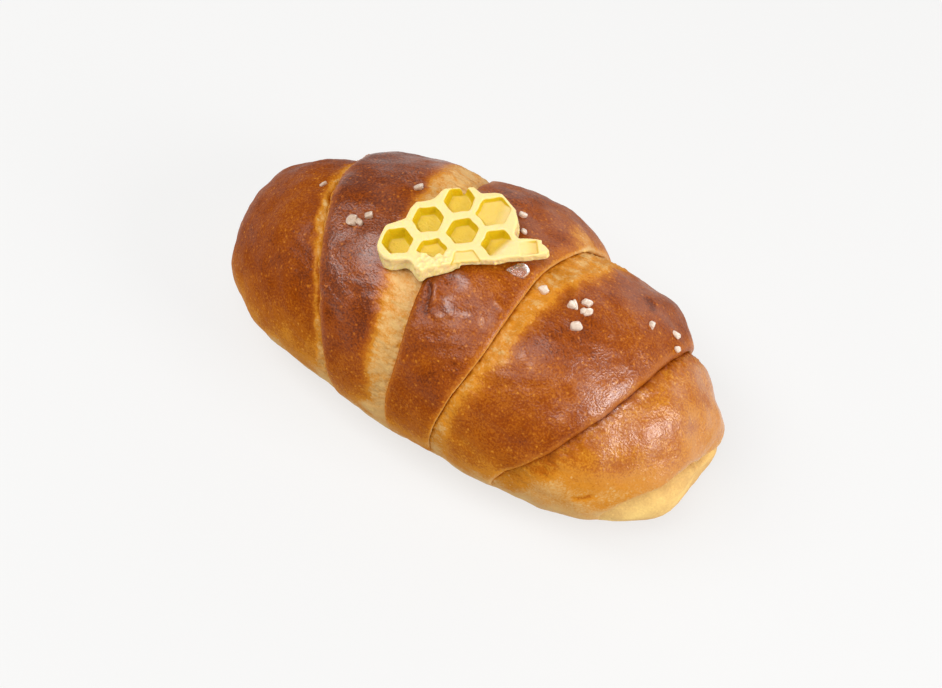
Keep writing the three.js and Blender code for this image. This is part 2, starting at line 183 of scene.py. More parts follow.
# Swell: distance along the crust, then the height at the back and the front.
SWELL = [(0, 0, 0), (5, 0.5, 0), (12, 1.1, -0.3), (18, -1.1, 0), (24, -2.6, -0.4), (32, -2.2, -0.4),
         (42, -0.5, -0.6), (54, -0.5, -1.2), (66, -0.6, -1.4), (76, 1.0, -1.6), (84, 1.0, -1.6),
         (100, -0.7, -0.7), (112, -1.0, 0.2), (120, 0.9, 0.5), (128, -0.4, 0.2), (134, 0.3, -0.5),
         (141, -0.5, -0.6), (147, 0.9, 0.4), (152, -0.5, 0.6), (158.3, 0, 0)]
# Long waves: height, length along the crust, turns round it, phase.
LUMPS = [(0.28, 9.1, 2, 1.1), (0.22, 5.3, -3, 0.4), (0.16, 3.7, 5, 2.3)]

# ---- salt crystals: distance along the crust, angle, length, width, turn of the length in degrees ----
CRYSTALS = [
    (35.8, 0, 2.1, 1.1, 65), (51.9, 14.7, 3.0, 2.4, 115), (53.8, 13.6, 2.5, 1.4, -10),
    (54.6, 10, 2.2, 2.0, 40), (59.3, -13.6, 2.9, 1.9, 60), (82.9, -27.2, 2.1, 1.8, 20),
    (86.8, -18.8, 1.7, 1.4, 35), (99, -1.7, 2.7, 2.1, -15), (106.4, -1.2, 2.2, 2.0, 10),
    (107.6, -2.1, 3.1, 1.3, 130), (108.8, -6.5, 2.5, 2.1, 0), (109.2, -2.1, 1.8, 1.5, 30),
    (110.2, -2.9, 2.4, 2.0, 45), (110.3, 5.5, 2.8, 2.4, 35), (121.5, -23, 2.3, 1.6, 110),
    (127, -34, 2.4, 1.4, 0), (129.3, -29.3, 1.7, 1.5, 35),
]
FACET_POWER = 6
CRYSTAL_SUNK = 0.3
CRYSTAL_HEIGHT = 0.85
# Crystals before this distance along the crust are clearer than the rest.
CLEAR_BEFORE = 70
CLEARNESS_LEFT = 0.65
CLEARNESS = 0.15

# ---- the drop of syrup: its place, turn and shape in shares of its width ----
DROP_PLACE = (92.0, -0.5)
DROP_TURN = 215
DROP_SHAPE = np.array([0.54, 0.42, 0.22])
DROP_LIFT = 0.08

# ---- fine waves: height in mm or share, length in mm, random seed ----
WAVES = dict(
    dimple=(0.1, 9.0, 1), pore=(0.05, 3.5, 2), wrinkle=(0.15, 1.7, 3), pucker=(0.09, 1.1, 4),
    flake=(0.34, 1.7, 5), crumb=(0.14, 0.8, 6), band_edge=(0.35, 6.0, 11), band_fringe=(0.12, 2.0, 12),
    stain=(0.035, 22.0, 21), fleck=(0.02, 6.0, 22), streak=(0.03, 2.6, 23), base_edge=(1.2, 9.0, 24),
    base_blotch=(0.05, 6.0, 25), wash=(0.25, 8.0, 31), patch_edge=(0.18, 4.0, 51),
    plate_swell=(0.05, 6.0, 61), plate_grain=(0.03, 2.0, 62), plate_break=(0.16, 1.3, 63),
    fill_edge=(0.35, 2.5, 64), mouth=(0.09, 3.0, 65), outline_u=(0.07, 1.6, 66), outline_v=(0.07, 1.6, 67),
    side_break=(0.1, 1.1, 71), side_swell=(0.12, 3.0, 72), drop_edge=(0.05, 0.8, 81),
)

# ---- marks on the crust; a place is a distance along the crust and an angle ----
# Lines: places, half width, height, bake added, gloss added. Along a groove, with a negative height, the bake
# added is painted shade; along a ridge, with a positive height, it is a painted highlight.
LINES = [
    ([(76.3, 21), (77.6, 23), (78.7, 25.1), (79.3, 29.3), (80.2, 34.5)], 0.5, -0.6, 0.2, 0.0),
    ([(77.6, 19.5), (78.8, 22), (80.0, 25.5), (80.6, 30)], 0.7, 0.45, -0.08, 0.6),
    ([(81.5, 31.5), (84.1, 31.0), (86.3, 27)], 0.6, 0.3, -0.1, 0.6),
    ([(92.2, 22), (92.3, 24.4), (92.8, 27)], 0.5, 0.3, -0.15, 0.6),
    ([(91.8, 15.2), (93.4, 15.6), (95.0, 16.6)], 0.45, 0.25, -0.15, 0.6),
    ([(96.7, -24.1), (100.4, -15.7), (103.6, -7.3), (103.6, -3.1)], 0.8, -0.6, 0.14, 0.0),
    ([(99.0, -26), (102.2, -17), (105.2, -9), (106.2, -2)], 0.9, 0.4, -0.1, 0.0),
    ([(98.6, -33), (101.5, -27), (104.2, -19)], 0.7, 0.3, -0.08, 0.0),
    ([(116.1, -38.7), (118.7, -34.5), (120.2, -29)], 0.8, -0.5, 0.16, 0.0),
    ([(128.6, 35.6), (129.5, 27.2), (130.5, 18.8), (132, 14.7), (133.6, 9.4)], 0.6, 0.3, -0.22, 0.2),
    ([(126.3, 82.7), (129.1, 79.5), (131.2, 75.3)], 0.5, -0.4, 0.3, 0.0),
    ([(72.5, 40), (72.2, 55), (72.6, 70), (74.2, 84)], 0.7, 0.25, -0.06, 0.0),
]
# Blisters, dents and stains: place, radius, height, bake added, gloss added. A dent's added bake is painted
# shade and a small glossy bump's paler bake a painted highlight; the other patches' bake is the crust's own
# tone.
PATCHES = [
    ((83.2, 13.6), 3.0, 0.4, 0.1, 1.4), ((84.5, 26.2), 3.4, 0.45, 0.08, 1.4),
    ((89.0, 25.1), 2.1, 0.4, 0.06, 1.4), ((80.6, 18.0), 2.2, -0.3, 0.14, 0.0),
    ((87.0, 20.5), 2.4, -0.2, 0.1, 0.0), ((95.5, -42), 6.5, 0.0, -0.3, 0.0),
    ((126.5, 30), 2.4, 0.2, -0.04, 0.4), ((101.1, 34.5), 1.6, 0.2, -0.2, 0.5),
    ((104.5, 27.6), 1.8, 0.2, -0.1, 0.5), ((118.1, 42.9), 1.4, 0.15, -0.1, 0.5),
    ((106.8, 29.3), 1.3, 0.15, -0.08, 0.5), ((41.9, 3.1), 2.2, 0.0, -0.25, 0.0),
    ((38.9, 9.4), 3.0, 0.0, -0.12, 0.0), ((60, 35), 12.0, 0.3, 0.05, 0.1), ((111, 3), 5.0, 0.0, 0.06, 0.0),
    ((124.6, 19.2), 12.0, 0.0, -0.03, 0.9), ((108.0, 18.0), 6.0, 0.0, 0.08, 0.0),
    ((112.0, 50.0), 9.0, 0.0, -0.06, 0.0),
]

# ---- the honeycomb chocolate, in the plane of its upper face ----
PLATE_MIDDLE = np.array([-2.1, 0.0, 55.1]) - BOX_CENTRE
PLATE_SLOPE = (-0.035, -0.1)
PLATE_TURN = 40.3
PLATE_THICKNESS = 5.4
SHELF_THICKNESS = 2.4
THINNEST = 0.5
CLEARANCE = 0.35
PLATE_STEP = 0.14
# Pockets: middle, half of the mouth across the flats, depth.
POCKETS = [
    ((-14.75, -0.5), 3.4, 3.4), ((-7.45, 4.3), 3.45, 2.7), ((-7.45, -4.3), 3.3, 1.9), ((0.0, 0.0), 3.45, 2.5),
    ((0.0, 8.5), 3.4, 2.6), ((7.45, 4.3), 3.75, 1.5), ((7.45, -4.3), 3.4, 2.9), ((0.0, -8.5), 3.3, 0.95),
]
# Broken pockets: depth, how much of it is filled, where the fill slopes, its way, its waviness.
FILLS = {
    (-7.45, -4.3): (1.9, 1.9, (-0.4, 1.7), (-0.25, -1.0), 1.0),
    (7.45, -4.3): (2.9, 2.9, (-1.6, 3.2), (0.62, -0.78), 0.0),
    (7.45, 4.3): (1.55, 0.7, (0.5, 3.8), (0.9, -0.35), 0.0),
}
WALL_SLOPE = 2.5 / 0.85
CORNER_POWER = 22
RIM_FILLET = 0.5
SIDE_RINGS = 9
SIDE_FLARE = 0.75
SIDE_STEEP = 0.9
RIM_JOIN = 0.55
FLOOR_JOIN = 0.5
WALL_JOIN = 0.4
PLATE_U = (-20.6, 19.8)
PLATE_V = (-10.8, 13.2)
# The small open pit on the arm: middle, half size, slope of its walls, depth, where it gets shallower.
PIT_MIDDLE = (14.4, -6.7)
PIT_HALF = (2.3, 2.0)
PIT_SLOPE = 4.2
PIT_DEPTH = 1.15
PIT_SHALLOWER = (16, 13)
# Where the face is rough, from the left, the right and the front; where the plate is thin and its side
# flares out, along and across; and where its side is notched, from the left and the right.
ROUGH_AT = ((-11.5, -9.5), (-2.5, -4.5), (-3.4, -5.2))
SHELF_AT = ((-2.2, -1.2), (-3.6, -4.6))
NOTCH_AT = ((-18.4, -16.8), (-11.2, -12.6))
FLARE_AT = ((-1, -4), (-3, -5.5))
NOTCH_DEPTH = 0.8
PLATE_OUTLINE = [
    (-19.6, -1.6), (-19.1, 0.7), (-17.2, 4.3), (-14.2, 4.9), (-12.6, 5.5), (-11, 8.6), (-9.8, 9.5),
    (-5.8, 9.7), (-3.4, 12.2), (-1.7, 12.3), (0.2, 11.9), (1.3, 11.1), (2.6, 11.7), (3.5, 11.9),
    (5.2, 9.7), (8.8, 9.3), (10.1, 8.7), (12.4, 4.3), (12.8, 0.9), (11.5, -2.3), (12.4, -3.7),
    (16.2, -4.3), (17.5, -5.0), (17.3, -5.7), (18.3, -6.6), (18.8, -7.9), (18.4, -8.9), (16.4, -9.0),
    (15.2, -8.8), (12.5, -8.8), (9.8, -8.5), (6.9, -8.9), (2.4, -8.2), (-2, -7.9), (-2.7, -8.1),
    (-8.5, -8.8), (-10.3, -9.5), (-11.7, -7.7), (-12.5, -5.9), (-16.8, -5.4), (-18.7, -4.0),
]

# ---- resolution of the crust ----
AROUND = 344
RIDGE_SPACING = 0.7
LIP_COLUMNS = 10
WRAP_COLUMNS = (10, 46, 36, 30, 46, 36, 16)


def smooth(low, high, value):
    """0 below low, 1 above high, and 3q^2 - 2q^3 between, where q is the share of the way."""
    q = np.clip((value - low) / (high - low), 0, 1)
    return q * q * (3 - 2 * q)


def bell(value, width):
    """exp(-(value / width)^2)"""
    return np.exp(-((value / width) ** 2))


def curve_through(knots, at):
    """A cubic Hermite curve through the knots, its slopes taken from their neighbours."""
    knots = np.asarray(knots, float)
    t, v = knots[:, 0], knots[:, 1]
    slope = np.gradient(v, t)
    i = np.clip(np.searchsorted(t, at, side="right") - 1, 0, len(t) - 2)
    h = t[i + 1] - t[i]
    q = (at - t[i]) / h
    return ((2 * q**3 - 3 * q**2 + 1) * v[i] + (q**3 - 2 * q**2 + q) * h * slope[i]
            + (3 * q**2 - 2 * q**3) * v[i + 1] + (q**3 - q**2) * h * slope[i + 1])


def waves(points, length, seed, count=28):
    """Smooth noise of unit spread: a sum of plane waves with random directions, phases and like lengths."""
    random = np.random.default_rng(seed)
    way = random.normal(size=(points.shape[-1], count))
    way /= np.linalg.norm(way, axis=0)
    way *= 2 * np.pi / (length * random.uniform(0.7, 1.5, count))
    phase = random.uniform(0, 2 * np.pi, count)
    return np.cos(points @ way + phase).sum(axis=-1) * math.sqrt(2 / count)


def ripple(points, name):
    """One of the named sets of waves, at its own height."""
    height, length, seed = WAVES[name]
    return height * waves(points, length, seed)


def make_meridian(steps=2000):
    """x = -L/2 cos(t) and size = sin(t)^(2 fullness) for t from 0 to pi, with the arc length along them."""
    turn = np.linspace(0, np.pi, steps + 1)
    x = -LENGTH / 2 * np.cos(turn)
    size = np.abs(np.sin(turn)) ** (2 * FULLNESS)
    size[[0, -1]] = 0
    step = np.hypot(np.diff(x), MEAN_RADIUS * np.diff(size))
    return np.concatenate([[0], np.cumsum(step)]), x, size


ARC, ARC_X, ARC_SIZE = make_meridian()
CRUST_LENGTH = ARC[-1]


def oval(arc, angle):
    """Points and outward normals of the oval: an ellipse across, taller above its widest line than below."""
    x = np.interp(arc, ARC, ARC_X)
    size = np.interp(arc, ARC, ARC_SIZE)
    turn = np.radians(angle)
    across, upward = np.sin(turn), np.cos(turn)
    tip = np.where(x < 0, *TIP_HEIGHTS)
    middle = WIDEST_AT + (tip - WIDEST_AT) * np.abs(2 * x / LENGTH) ** 3
    reach = np.where(upward > 0, HEIGHT - WIDEST_AT, WIDEST_AT + BELOW_TRAY)
    points = np.stack([x, -WIDTH / 2 * size * across, middle + reach * size * upward], axis=-1)
    normals = np.stack([4 * x / LENGTH**2, -size * across / (WIDTH / 2), size * upward / reach], axis=-1)
    return points, normals / np.linalg.norm(normals, axis=-1, keepdims=True)


def flattened(z):
    """The tray's level at 0, joined to the side by a parabola over the base's rounding."""
    blend = (z + BASE_ROUNDING) ** 2 / (4 * BASE_ROUNDING)
    return np.where(z > BASE_ROUNDING, z, np.where(z < -BASE_ROUNDING, 0, blend))


def unevenness(arc, angle):
    """Swell at the back and front, plus a few long waves over the upper crust."""
    swell = np.asarray(SWELL, float)
    back = smooth(*SWELL_BACK, -angle) * (1 - smooth(*SWELL_ENDS, -angle))
    front = smooth(*SWELL_FRONT, angle) * (1 - smooth(*SWELL_ENDS, angle))
    turn = np.radians(angle)
    lumps = sum(high * np.sin(arc / long + turns * turn + phase) for high, long, turns, phase in LUMPS)
    lumps *= np.interp(arc, ARC, ARC_SIZE) * (1 - smooth(*LUMPS_END, np.abs(angle)))
    return curve_through(swell[:, :2], arc) * back + curve_through(swell[:, [0, 2]], arc) * front + lumps


def by_side(values, angle):
    """A value given at the back, ridge and front, eased between them by angle."""
    back, ridge, front = values
    return np.where(angle < 0, ridge + (back - ridge) * smooth(*EASE_BACK, -angle),
                    ridge + (front - ridge) * smooth(*EASE_FRONT, angle))


def down_the_side(angle, front, back):
    """0 over the ridge to 1 down the sides, between a pair of angles at the front and one at the back."""
    return np.where(angle > 0, smooth(*front, angle), smooth(*back, -angle))


def climb(q):
    """Steep at first and then level, from 0 to 1."""
    q = np.clip(q, 0, 1)
    return 0.5 * q * q * (3 - 2 * q) + 0.5 * q * (2 - q)


def wander(seam, angle, seed):
    """A seam's small wavering: three waves round the loaf, none at the base."""
    turn = np.radians(angle)
    turns = np.array([5.0, 11.0, 23.0])
    share = np.array([0.55, 0.3, 0.15])
    phase = np.random.default_rng(seed).uniform(0, 6.28, 3)
    waver = (share * np.sin(turns * turn[:, None] + phase)).sum(axis=1)
    return seam["wander"] * waver * (1 - smooth(*WANDER_ENDS, np.abs(angle)))


def crust_lines(angle):
    """One line from tip to tip at each angle, as arrays of rows by columns.

    A wrap runs level between its seams. Its own lip rolls over by an angle r, moving out by sin r and
    down by 1 - cos r; beside a seam where it is the lower wrap, it dips by the seam's depth and climbs out.
    """
    fade = 1 - smooth(*SEAM_FADE, np.abs(angle))
    at = [curve_through(s["path"], angle) + wander(s, angle, 40 + i) for i, s in enumerate(SEAMS)]
    at = [np.zeros_like(angle), *at, np.full_like(angle, CRUST_LENGTH)]
    depth = [(by_side(s["depth"], angle) * fade)[:, None] for s in SEAMS]
    tuck = np.radians(TUCK[0] + (TUCK[1] - TUCK[0]) * fade)[:, None]
    parts = dict(arc=[], sunk=[], wrap=[], roll=[], below=[], seam=[])

    def add(arc, *values):
        for part, value in zip(parts.values(), (arc, *values)):
            part.append(np.broadcast_to(value, arc.shape))

    def add_lip(i, side, width, wrap):
        share = np.arange(LIP_COLUMNS) / LIP_COLUMNS
        rolls = tuck * (share if side > 0 else 1 - share)
        inward = width[:, None] * (1 - np.sin(rolls) / np.sin(tuck))
        sunk = depth[i] * (1 - np.cos(rolls)) / (1 - np.cos(tuck))
        add(at[i + 1][:, None] - side * inward, sunk, wrap, np.degrees(rolls), FAR, i)

    for wrap, columns in enumerate(WRAP_COLUMNS):
        start, end = at[wrap], at[wrap + 1]
        room = end - start
        sides = {side: i for side, i in ((-1, wrap - 1), (1, wrap)) if 0 <= i < len(SEAMS)}
        lips = {side: i for side, i in sides.items() if SEAMS[i]["under"] == side}
        lows = {side: i for side, i in sides.items() if SEAMS[i]["under"] != side}
        widths = {side: by_side(SEAMS[i]["lip"], angle) for side, i in lips.items()}
        widths = {side: np.minimum(width, LIP_SHARE * room) for side, width in widths.items()}
        if -1 in lips:
            add_lip(lips[-1], -1, widths[-1], wrap)
        even = np.arange(columns + (wrap == len(SEAMS))) / columns
        even = even**CROWDING if -1 in lows else 1 - (1 - even) ** CROWDING if 1 in lows else even
        arc = (start + widths.get(-1, 0))[:, None] + even * (room - sum(widths.values()))[:, None]
        sunk, below = np.zeros_like(arc), FAR
        for side, i in lows.items():
            below = arc - start[:, None] if side < 0 else end[:, None] - arc
            rise = np.minimum(SEAMS[i]["rise"], RISE_SHARE * room)[:, None]
            sunk += depth[i] * (1 - climb(below / rise))
        if wrap == len(SEAMS):
            sunk += TIP_FLAT * smooth(0.3, 1.0, (arc - start[:, None]) / room[:, None])
        add(arc, sunk, wrap, 0.0, below, lows.get(-1, min(wrap, len(SEAMS) - 1)))
        if 1 in lips:
            add_lip(lips[1], 1, widths[1], wrap)
    return {key: np.concatenate(value, axis=1) for key, value in parts.items()}


def crust_point(arc, angle, outward):
    """A point of the crust: the oval, moved along its normal, flattened by the tray and centred."""
    points, normals = oval(arc, angle)
    points = points + normals * (unevenness(arc, angle) + outward)[..., None]
    points[..., 2] = flattened(points[..., 2])
    return points - BOX_CENTRE, normals


def line_on_crust(places):
    """Points along a line through places on the seamless crust, six to each stretch."""
    places = np.asarray(places, float)
    at = np.linspace(0, len(places) - 1, 6 * len(places))
    knots = np.arange(len(places))
    points, _ = crust_point(np.interp(at, knots, places[:, 0]), np.interp(at, knots, places[:, 1]), 0.0)
    return points


def nearest_on_line(points, line):
    """The nearest place on a line of straight stretches, its distance and its share of the way."""
    best = np.full(len(points), np.inf)
    place, best_share = np.zeros_like(points), np.zeros(len(points))
    for i, (a, b) in enumerate(zip(line[:-1], line[1:])):
        along = b - a
        share = np.clip(((points - a) @ along) / (along @ along + 1e-9), 0, 1)
        spot = a + share[:, None] * along
        far = np.linalg.norm(points - spot, axis=1)
        closer = far < best
        best = np.where(closer, far, best)
        place = np.where(closer[:, None], spot, place)
        best_share = np.where(closer, (i + share) / (len(line) - 1), best_share)
    return place, best, best_share


def line_profile(points, line, half_width):
    """A bell beside a line, eased to 0 at its ends; worked out only near the line."""
    profile = np.zeros(points.shape[:-1])
    reach = 4 * half_width
    near = np.all((points > line.min(axis=0) - reach) & (points < line.max(axis=0) + reach), axis=-1)
    _, distance, share = nearest_on_line(points[near], line)
    profile[near] = bell(distance, half_width) * smooth(0, 0.2, share) * smooth(0, 0.2, 1 - share)
    return profile


class Crust:
    """The crust's grid: rows round the loaf, columns from tip to tip, with its relief, and its bake with
    painted shade and highlights laid into it.
    """

    def __init__(self):
        share = np.linspace(-1, 1, AROUND, endpoint=False)
        rows = 180 * share * (RIDGE_SPACING + (1 - RIDGE_SPACING) * share**2)
        lines = crust_lines(rows)
        self.angle = np.broadcast_to(rows[:, None], lines["arc"].shape)
        self.arc = lines["arc"]
        self.lines = lines
        self.seam = lines["seam"].astype(int)
        self.wrap = lines["wrap"].astype(int)
        base, _ = crust_point(self.arc, self.angle, -lines["sunk"])
        self.base = base
        self.masks = self.find_masks(base)
        self.marks = self.find_marks(base)
        self.points, self.normals = crust_point(self.arc, self.angle, self.relief(base) - lines["sunk"])
        self.bake = self.find_bake_and_painted_light(base)
        self.gloss = self.find_gloss(base)

    def find_masks(self, points):
        """Shares from 0 to 1: band of stretched dough, its edge, torn strip, lip's underside, lip's rim."""
        below, roll = self.lines["below"], self.lines["roll"]
        fade = 1 - smooth(*SEAM_FADE, np.abs(self.angle))
        widths = np.stack([curve_through(seam["band"], self.angle[:, 0]) for seam in SEAMS], axis=1)
        width = np.take_along_axis(widths, self.seam, axis=1)
        low, lip = below < FAR, roll > 0
        below = below + ripple(points, "band_edge") + ripple(points, "band_fringe")
        band = low * (1 - smooth(width - BAND_INSIDE, width + self.of_seam("blend"), below))
        edge = low * bell(below - width, EDGE_WIDTH)
        under = lip * smooth(self.of_seam("pale_from"), self.of_seam("pale_from") + PALE_ROLL, roll)
        rim = lip * bell(roll - RIM_ROLL, RIM_SPREAD)
        torn = np.where(self.seam == TORN_SEAM, np.maximum(band, under), 0)
        return dict(band=band, edge=edge * fade, under=under * fade, rim=rim * fade, torn=torn * fade,
                    fade=fade)

    def find_marks(self, points):
        """The lines and patches; a patch's profile is (1 - q^2)^2, q being the distance over its radius."""
        marks = np.zeros((3, *self.arc.shape))
        for places, half_width, *strengths in LINES:
            marks += np.multiply.outer(strengths, line_profile(points, line_on_crust(places), half_width))
        uneven = ripple(points, "patch_edge")
        for place, radius, *strengths in PATCHES:
            middle = line_on_crust([place, place])[0]
            q = np.clip(np.linalg.norm(points - middle, axis=-1) / radius + uneven, 0, 1)
            marks += np.multiply.outer(strengths, (1 - q * q) ** 2)
        return dict(zip(("height", "bake", "gloss"), marks))

    def of_seam(self, key):
        """A named value of the seam that each point belongs to."""
        return np.take([seam[key] for seam in SEAMS], self.seam)

    def relief(self, points):
        """Fine relief in mm: dimples everywhere, wrinkles on the bands, ragged flakes on the torn strip."""
        masks = self.masks
        upper = smooth(*RELIEF_FROM, points[..., 2])
        dimples = ripple(points, "dimple") + ripple(points, "pore")
        marks = WRINKLE_LIFT - np.abs(ripple(points * STRETCH, "wrinkle")) + ripple(points, "pucker")
        ragged = np.abs(ripple(points * FLAKE_STRETCH, "flake")) + ripple(points, "crumb") - FLAKES_SUNK
        wrinkled = self.of_seam("wrinkle")
        self.wrinkled = wrinkled * masks["band"] * masks["fade"] * upper
        folds = wrinkled * (masks["band"] * marks + BAND_EDGE_RAISED * masks["edge"]) + masks["torn"] * ragged
        return upper * (dimples + masks["fade"] * folds + self.marks["height"]) - self.crack()[0]

    def crack(self):
        """The torn seam's crack: a narrow groove that wavers beside the seam, deepest over the ridge."""
        angle = self.angle
        below = np.where(self.seam == TORN_SEAM, self.lines["below"], FAR)
        turn = np.radians(angle)
        line = 1.1 + 0.5 * np.sin(9 * turn + 0.6) + 0.25 * np.sin(21 * turn)
        groove = bell(below - line, CRACK_WIDTH)
        groove = groove * smooth(*CRACK_BACK, angle) * (1 - smooth(*CRACK_FRONT, angle))
        return CRACK_DEPTH * groove * (1 - 0.5 * smooth(*CRACK_SHALLOWER, angle)), groove

    def find_bake_and_painted_light(self, points):
        """How dark the crust is, 0 to 1: baked darker by wrap, paler down the sides and on stretched dough,
        with painted shade in the seams' creases and the torn seam's crack and a painted highlight on the
        lips' rims.
        """
        lines, masks = self.lines, self.masks
        side = down_the_side(self.angle, PALER_FRONT, PALER_BACK)
        bake = np.take(WRAP_TONES, self.wrap) - np.take(WRAP_SIDE_FADES, self.wrap) * side
        bake = bake + ripple(points, "stain") + ripple(points, "fleck")
        streaks = self.of_seam("wrinkle") * ripple(points * STRETCH, "streak")
        bake = bake + masks["band"] * (self.of_seam("tone") + streaks - BAND_PALER * side - bake)
        bake = bake + 0.6 * masks["edge"] * (EDGE_TONE - bake) * (self.seam == GOLDEN_EDGE_SEAM)
        # The lips' undersides turn to pale dough; their rims get a painted highlight.
        bake = bake + masks["under"] * (UNDER_TONE - bake) - RIM_PAINTED_HIGHLIGHT * masks["rim"]
        # Painted shade: each seam's crease just below the lip is darkened.
        bake = bake + self.of_seam("painted_shade") * masks["fade"] * bell(lines["below"], PAINTED_SHADE_WIDTH)
        # Painted shade in the torn seam's crack; the marks add painted shade along grooves and dents and
        # painted highlights along ridges and glints.
        bake = bake + CRACK_PAINTED_SHADE * self.crack()[1] + self.marks["bake"]
        return np.clip(self.paler_below(points, bake), 0, 1)

    def paler_below(self, points, bake):
        """The bake with the lower sides paler, least at the ends, and the cap's lower edge darker."""
        height = points[..., 2]
        edge = height + ripple(points, "base_edge")
        low = SOFT_SHARE * (1 - smooth(*PALE_SOFTLY, edge))
        low = low + (1 - SOFT_SHARE) * (1 - smooth(*PALE_FULLY, edge))
        low = low * smooth(*TRAY_BROWN, height) * (1 - END_SHARE * smooth(*FAR_ENDS, np.abs(points[..., 0])))
        bake = bake - low * (PALING * np.maximum(bake - PALE_TONE, 0) + ripple(points, "base_blotch"))
        return bake + CAP_DARKER * (self.wrap == len(SEAMS)) * (1 - smooth(*CAP_BROWN, height))

    def find_gloss(self, points):
        """How much egg wash lies on the crust: most over the upper wraps, little on bands and sides."""
        upper = 1 - down_the_side(self.angle, DULLER_FRONT, DULLER_BACK)
        gloss = np.take(WRAP_GLOSS, self.wrap) * (0.06 + 0.8 * upper)
        gloss = gloss * (1 - 0.7 * np.maximum(self.masks["band"], self.masks["torn"]))
        return np.clip(gloss * (1 + ripple(points, "wash")) + self.marks["gloss"], 0, 2)

    def spot(self, arc, angle):
        """The crust's point and normal nearest to a distance along the crust and an angle round it."""
        off = np.abs(self.arc - arc) + 0.5 * np.abs(self.angle - angle) + 9.0 * (self.lines["roll"] > 60)
        row, column = np.unravel_index(np.argmin(off), off.shape)
        return self.points[row, column], self.normals[row, column]


# ---- the honeycomb chocolate ----
def rounded_outline(corners, passes=2, keep=0.13):
    """The outline with its corners cut again and again, so that it runs in short smooth curves."""
    line = np.asarray(corners, float)
    for _ in range(passes):
        ahead = np.roll(line, -1, axis=0)
        line = np.stack([line + keep * (ahead - line), ahead + keep * (line - ahead)], axis=1).reshape(-1, 2)
    return line


def nearest_on_outline(points, line):
    """The nearest place on the closed line and its distance, positive inside.

    A point is inside where a ray from it crosses the line an odd number of times.
    """
    place, distance, _ = nearest_on_line(points, np.concatenate([line, line[:1]]))
    u, v = points.T[..., None]
    (a_u, a_v), (b_u, b_v) = line.T, np.roll(line, -1, axis=0).T
    crossing = a_u + (v - a_v) / np.where(b_v == a_v, 1e-9, b_v - a_v) * (b_u - a_u)
    inside = (((a_v > v) != (b_v > v)) & (u < crossing)).sum(axis=1) % 2 == 1
    return place, np.where(inside, distance, -distance)


def soft_greater(a, b, blend):
    """The greater of two heights, with a rounded join."""
    near = np.maximum(blend - np.abs(a - b), 0) / blend
    return np.maximum(a, b) + near * near * blend / 4


def soft_lesser(a, b, blend):
    return -soft_greater(-a, -b, blend)


def hexagon_reach(spot, middle):
    """Distance from a cell's middle towards its nearest flat, with slightly rounded corners."""
    u, v = (spot - np.asarray(middle)).T
    sixth = math.radians(60)
    flats = np.stack([np.abs(v), np.abs(u * math.sin(sixth) + v * math.cos(sixth)),
                      np.abs(u * math.sin(sixth) - v * math.cos(sixth))])
    return (flats**CORNER_POWER).sum(axis=0) ** (1 / CORNER_POWER)


def pocket_floor(spot, middle, half_mouth, depth):
    """A pocket's surface: a drafted wall falling inwards from the rim to a level floor, rounded at both."""
    drop = (half_mouth - hexagon_reach(spot, middle)) * WALL_SLOPE
    return -soft_lesser(soft_greater(drop, 0, WALL_JOIN), depth, FLOOR_JOIN)


def plate_top(spot):
    """Height of the upper face: pockets, the fill of the broken cells and a little unevenness."""
    u, v = spot.T
    flat = np.column_stack([spot, np.zeros(len(spot))])
    height = ripple(flat, "plate_swell") + ripple(flat, "plate_grain")
    for middle, half_mouth, depth in POCKETS:
        if middle in FILLS:
            depth, filled, slope, way, wavy = FILLS[middle]
            reach = (spot - middle) @ np.array(way) + wavy * ripple(flat, "fill_edge")
            depth = depth - filled * smooth(*slope, reach)
        pocket = pocket_floor(spot, middle, half_mouth + ripple(flat, "mouth"), depth)
        height = soft_lesser(height, pocket, RIM_JOIN)
    reach = np.abs((spot - PIT_MIDDLE) / PIT_HALF).max(axis=1)
    wall = soft_greater((1 - reach) * PIT_SLOPE, 0, WALL_JOIN)
    pit = -soft_lesser(wall, PIT_DEPTH - 0.5 * smooth(*PIT_SHALLOWER, u), WALL_JOIN)
    height = soft_lesser(height, pit, 0.3)
    left, right, front = ROUGH_AT
    rough = smooth(*left, u) * smooth(*right, u) * smooth(*front, v)
    return height + rough * ripple(flat, "plate_break")


def plate_axes():
    normal = np.array([*PLATE_SLOPE, 1.0])
    normal /= np.linalg.norm(normal)
    turn = math.radians(PLATE_TURN)
    along = np.array([math.cos(turn), math.sin(turn), 0.0])
    along -= along @ normal * normal
    along /= np.linalg.norm(along)
    return along, np.cross(normal, along), normal


def height_above_crust(spot):
    """The height, in the plate's frame, at which each spot meets the seamless crust's clearance."""
    along, across, normal = plate_axes()
    flat = PLATE_MIDDLE + spot[:, :1] * along + spot[:, 1:] * across
    rise = np.full(len(spot), -4.0)
    arc = np.interp(flat[:, 0], ARC_X, ARC)
    angle = np.zeros(len(spot))
    for _ in range(12):
        wanted = flat + rise[:, None] * normal
        there, _ = crust_point(arc, angle, CLEARANCE)
        arc = arc + (np.interp(wanted[:, 0], ARC_X, ARC) - np.interp(there[:, 0], ARC_X, ARC))
        half = WIDTH / 2 * np.interp(arc, ARC, ARC_SIZE) * np.cos(np.radians(angle))
        angle = angle - np.degrees((wanted[:, 1] - there[:, 1]) / np.maximum(half, 5))
        rise = rise + (there[:, 2] - wanted[:, 2]) / normal[2]
    return rise


